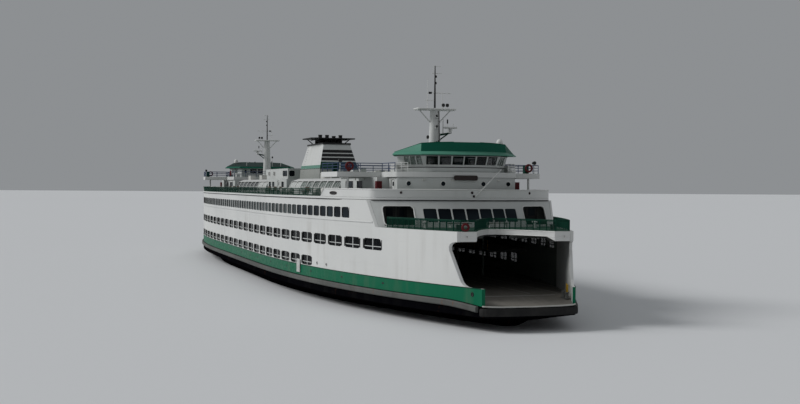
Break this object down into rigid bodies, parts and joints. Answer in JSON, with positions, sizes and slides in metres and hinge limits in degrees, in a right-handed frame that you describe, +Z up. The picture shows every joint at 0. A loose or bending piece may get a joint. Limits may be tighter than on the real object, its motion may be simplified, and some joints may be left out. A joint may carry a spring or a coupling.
{
  "type": "double-ended car ferry, 1:10 scale model",
  "caption": "Double-ended passenger and car ferry afloat, with an open car deck, a pilothouse and mast at each end, and a striped funnel amidships; 1:10 scale model.",
  "frame": {"origin": "on the centreline amidships, at the height of the waterline", "axes": "+X to the near end, +Y to the side away from the camera, +Z up"},
  "size_m": [14.026, 2.743, 3.051],
  "materials": {
    "hull_black": "matte marine coating",
    "guard_grey": "matte, scuffed",
    "rubber": "matte",
    "side_white": "semi-gloss marine paint",
    "inside_white": "semi-gloss",
    "deck_coating": "rough non-slip coating",
    "house_white": "semi-gloss marine paint",
    "roof_green": "semi-gloss marine paint",
    "radar_plastic": "gloss",
    "funnel_white": "semi-gloss marine paint",
    "soot_black": "matte, sooty",
    "rail_green": "semi-gloss marine paint",
    "rail_grey": "semi-gloss marine paint",
    "bronze": "polished bronze"
  },
  "bodies": {
    "ship": {"hull": "hull_black", "guard_port": "guard_grey", "guard_starboard": "guard_grey", "fender_near": "rubber", "fender_far": "rubber", "shell_port_near": "side_white", "shell_port_far": "side_white", "shell_starboard_near": "side_white", "shell_starboard_far": "side_white", "casing": "inside_white", "mezzanine_port": "deck_coating", "mezzanine_starboard": "deck_coating", "passenger_deck": "inside_white", "deck_end_near": "side_white", "deck_end_far": "side_white", "cabin_port": "side_white", "cabin_starboard": "side_white", "cabin_end_near": "house_white", "cabin_end_far": "house_white", "sun_deck": "side_white", "bulwark_near": "side_white", "bulwark_far": "side_white", "house_near": "house_white", "house_far": "house_white", "midship_house": "house_white", "spine_house_near": "house_white", "spine_house_far": "house_white", "shelter_near_port": "house_white", "shelter_near_starboard": "house_white", "shelter_far_port": "house_white", "shelter_far_starboard": "house_white", "nav_deck_near": "house_white", "nav_deck_far": "house_white", "generator_house": "house_white", "pilothouse_near": "house_white", "pilothouse_far": "house_white", "roof_near": "roof_green", "roof_far": "roof_green", "mast_near": "house_white", "mast_far": "house_white", "funnel": "funnel_white", "exhaust": "soot_black", "sun_rail_port": "rail_green", "sun_rail_starboard": "rail_green", "promenade_rail_near": "rail_green", "promenade_rail_far": "rail_green", "nav_rail_near": "rail_grey", "nav_rail_far": "rail_grey"},
    "propeller_near": {"propeller_near": "bronze"},
    "propeller_far": {"propeller_far": "bronze"},
    "rudder_near": {"rudder_near": "hull_black"},
    "rudder_far": {"rudder_far": "hull_black"},
    "radar_near": {"radar_near": "radar_plastic"},
    "radar_far": {"radar_far": "radar_plastic"},
    "door_near_port": {"pilot_door_near_port": "house_white"},
    "door_near_starboard": {"pilot_door_near_starboard": "house_white"},
    "door_far_port": {"pilot_door_far_port": "house_white"},
    "door_far_starboard": {"pilot_door_far_starboard": "house_white"}
  },
  "joints": [
    {"name": "propeller_near_spin", "type": "hinge", "parent": "ship", "child": "propeller_near", "pos_m": [5.745, 0, -0.355], "axis": [1, 0, 0], "continuous": true},
    {"name": "propeller_far_spin", "type": "hinge", "parent": "ship", "child": "propeller_far", "pos_m": [-5.745, 0, -0.355], "axis": [-1, 0, 0], "continuous": true},
    {"name": "rudder_near_turn", "type": "hinge", "parent": "ship", "child": "rudder_near", "pos_m": [6.04, 0, -0.3], "axis": [0, 0, 1], "range_deg": [-35, 35]},
    {"name": "rudder_far_turn", "type": "hinge", "parent": "ship", "child": "rudder_far", "pos_m": [-6.04, 0, -0.3], "axis": [0, 0, 1], "range_deg": [-35, 35]},
    {"name": "radar_near_spin", "type": "hinge", "parent": "ship", "child": "radar_near", "pos_m": [4.5, 0.175, 1.85], "axis": [0, 0, 1], "continuous": true},
    {"name": "radar_far_spin", "type": "hinge", "parent": "ship", "child": "radar_far", "pos_m": [-4.5, -0.175, 1.85], "axis": [0, 0, 1], "continuous": true},
    {"name": "door_near_port_swing", "type": "hinge", "parent": "ship", "child": "door_near_port", "pos_m": [4.665, 0.4057, 1.46], "axis": [0, 0, 1], "range_deg": [-100, 0]},
    {"name": "door_near_starboard_swing", "type": "hinge", "parent": "ship", "child": "door_near_starboard", "pos_m": [4.665, -0.4057, 1.46], "axis": [0, 0, 1], "range_deg": [0, 100]},
    {"name": "door_far_port_swing", "type": "hinge", "parent": "ship", "child": "door_far_port", "pos_m": [-4.665, 0.4057, 1.46], "axis": [0, 0, 1], "range_deg": [0, 100]},
    {"name": "door_far_starboard_swing", "type": "hinge", "parent": "ship", "child": "door_far_starboard", "pos_m": [-4.665, -0.4057, 1.46], "axis": [0, 0, 1], "range_deg": [-100, 0]}
  ]
}
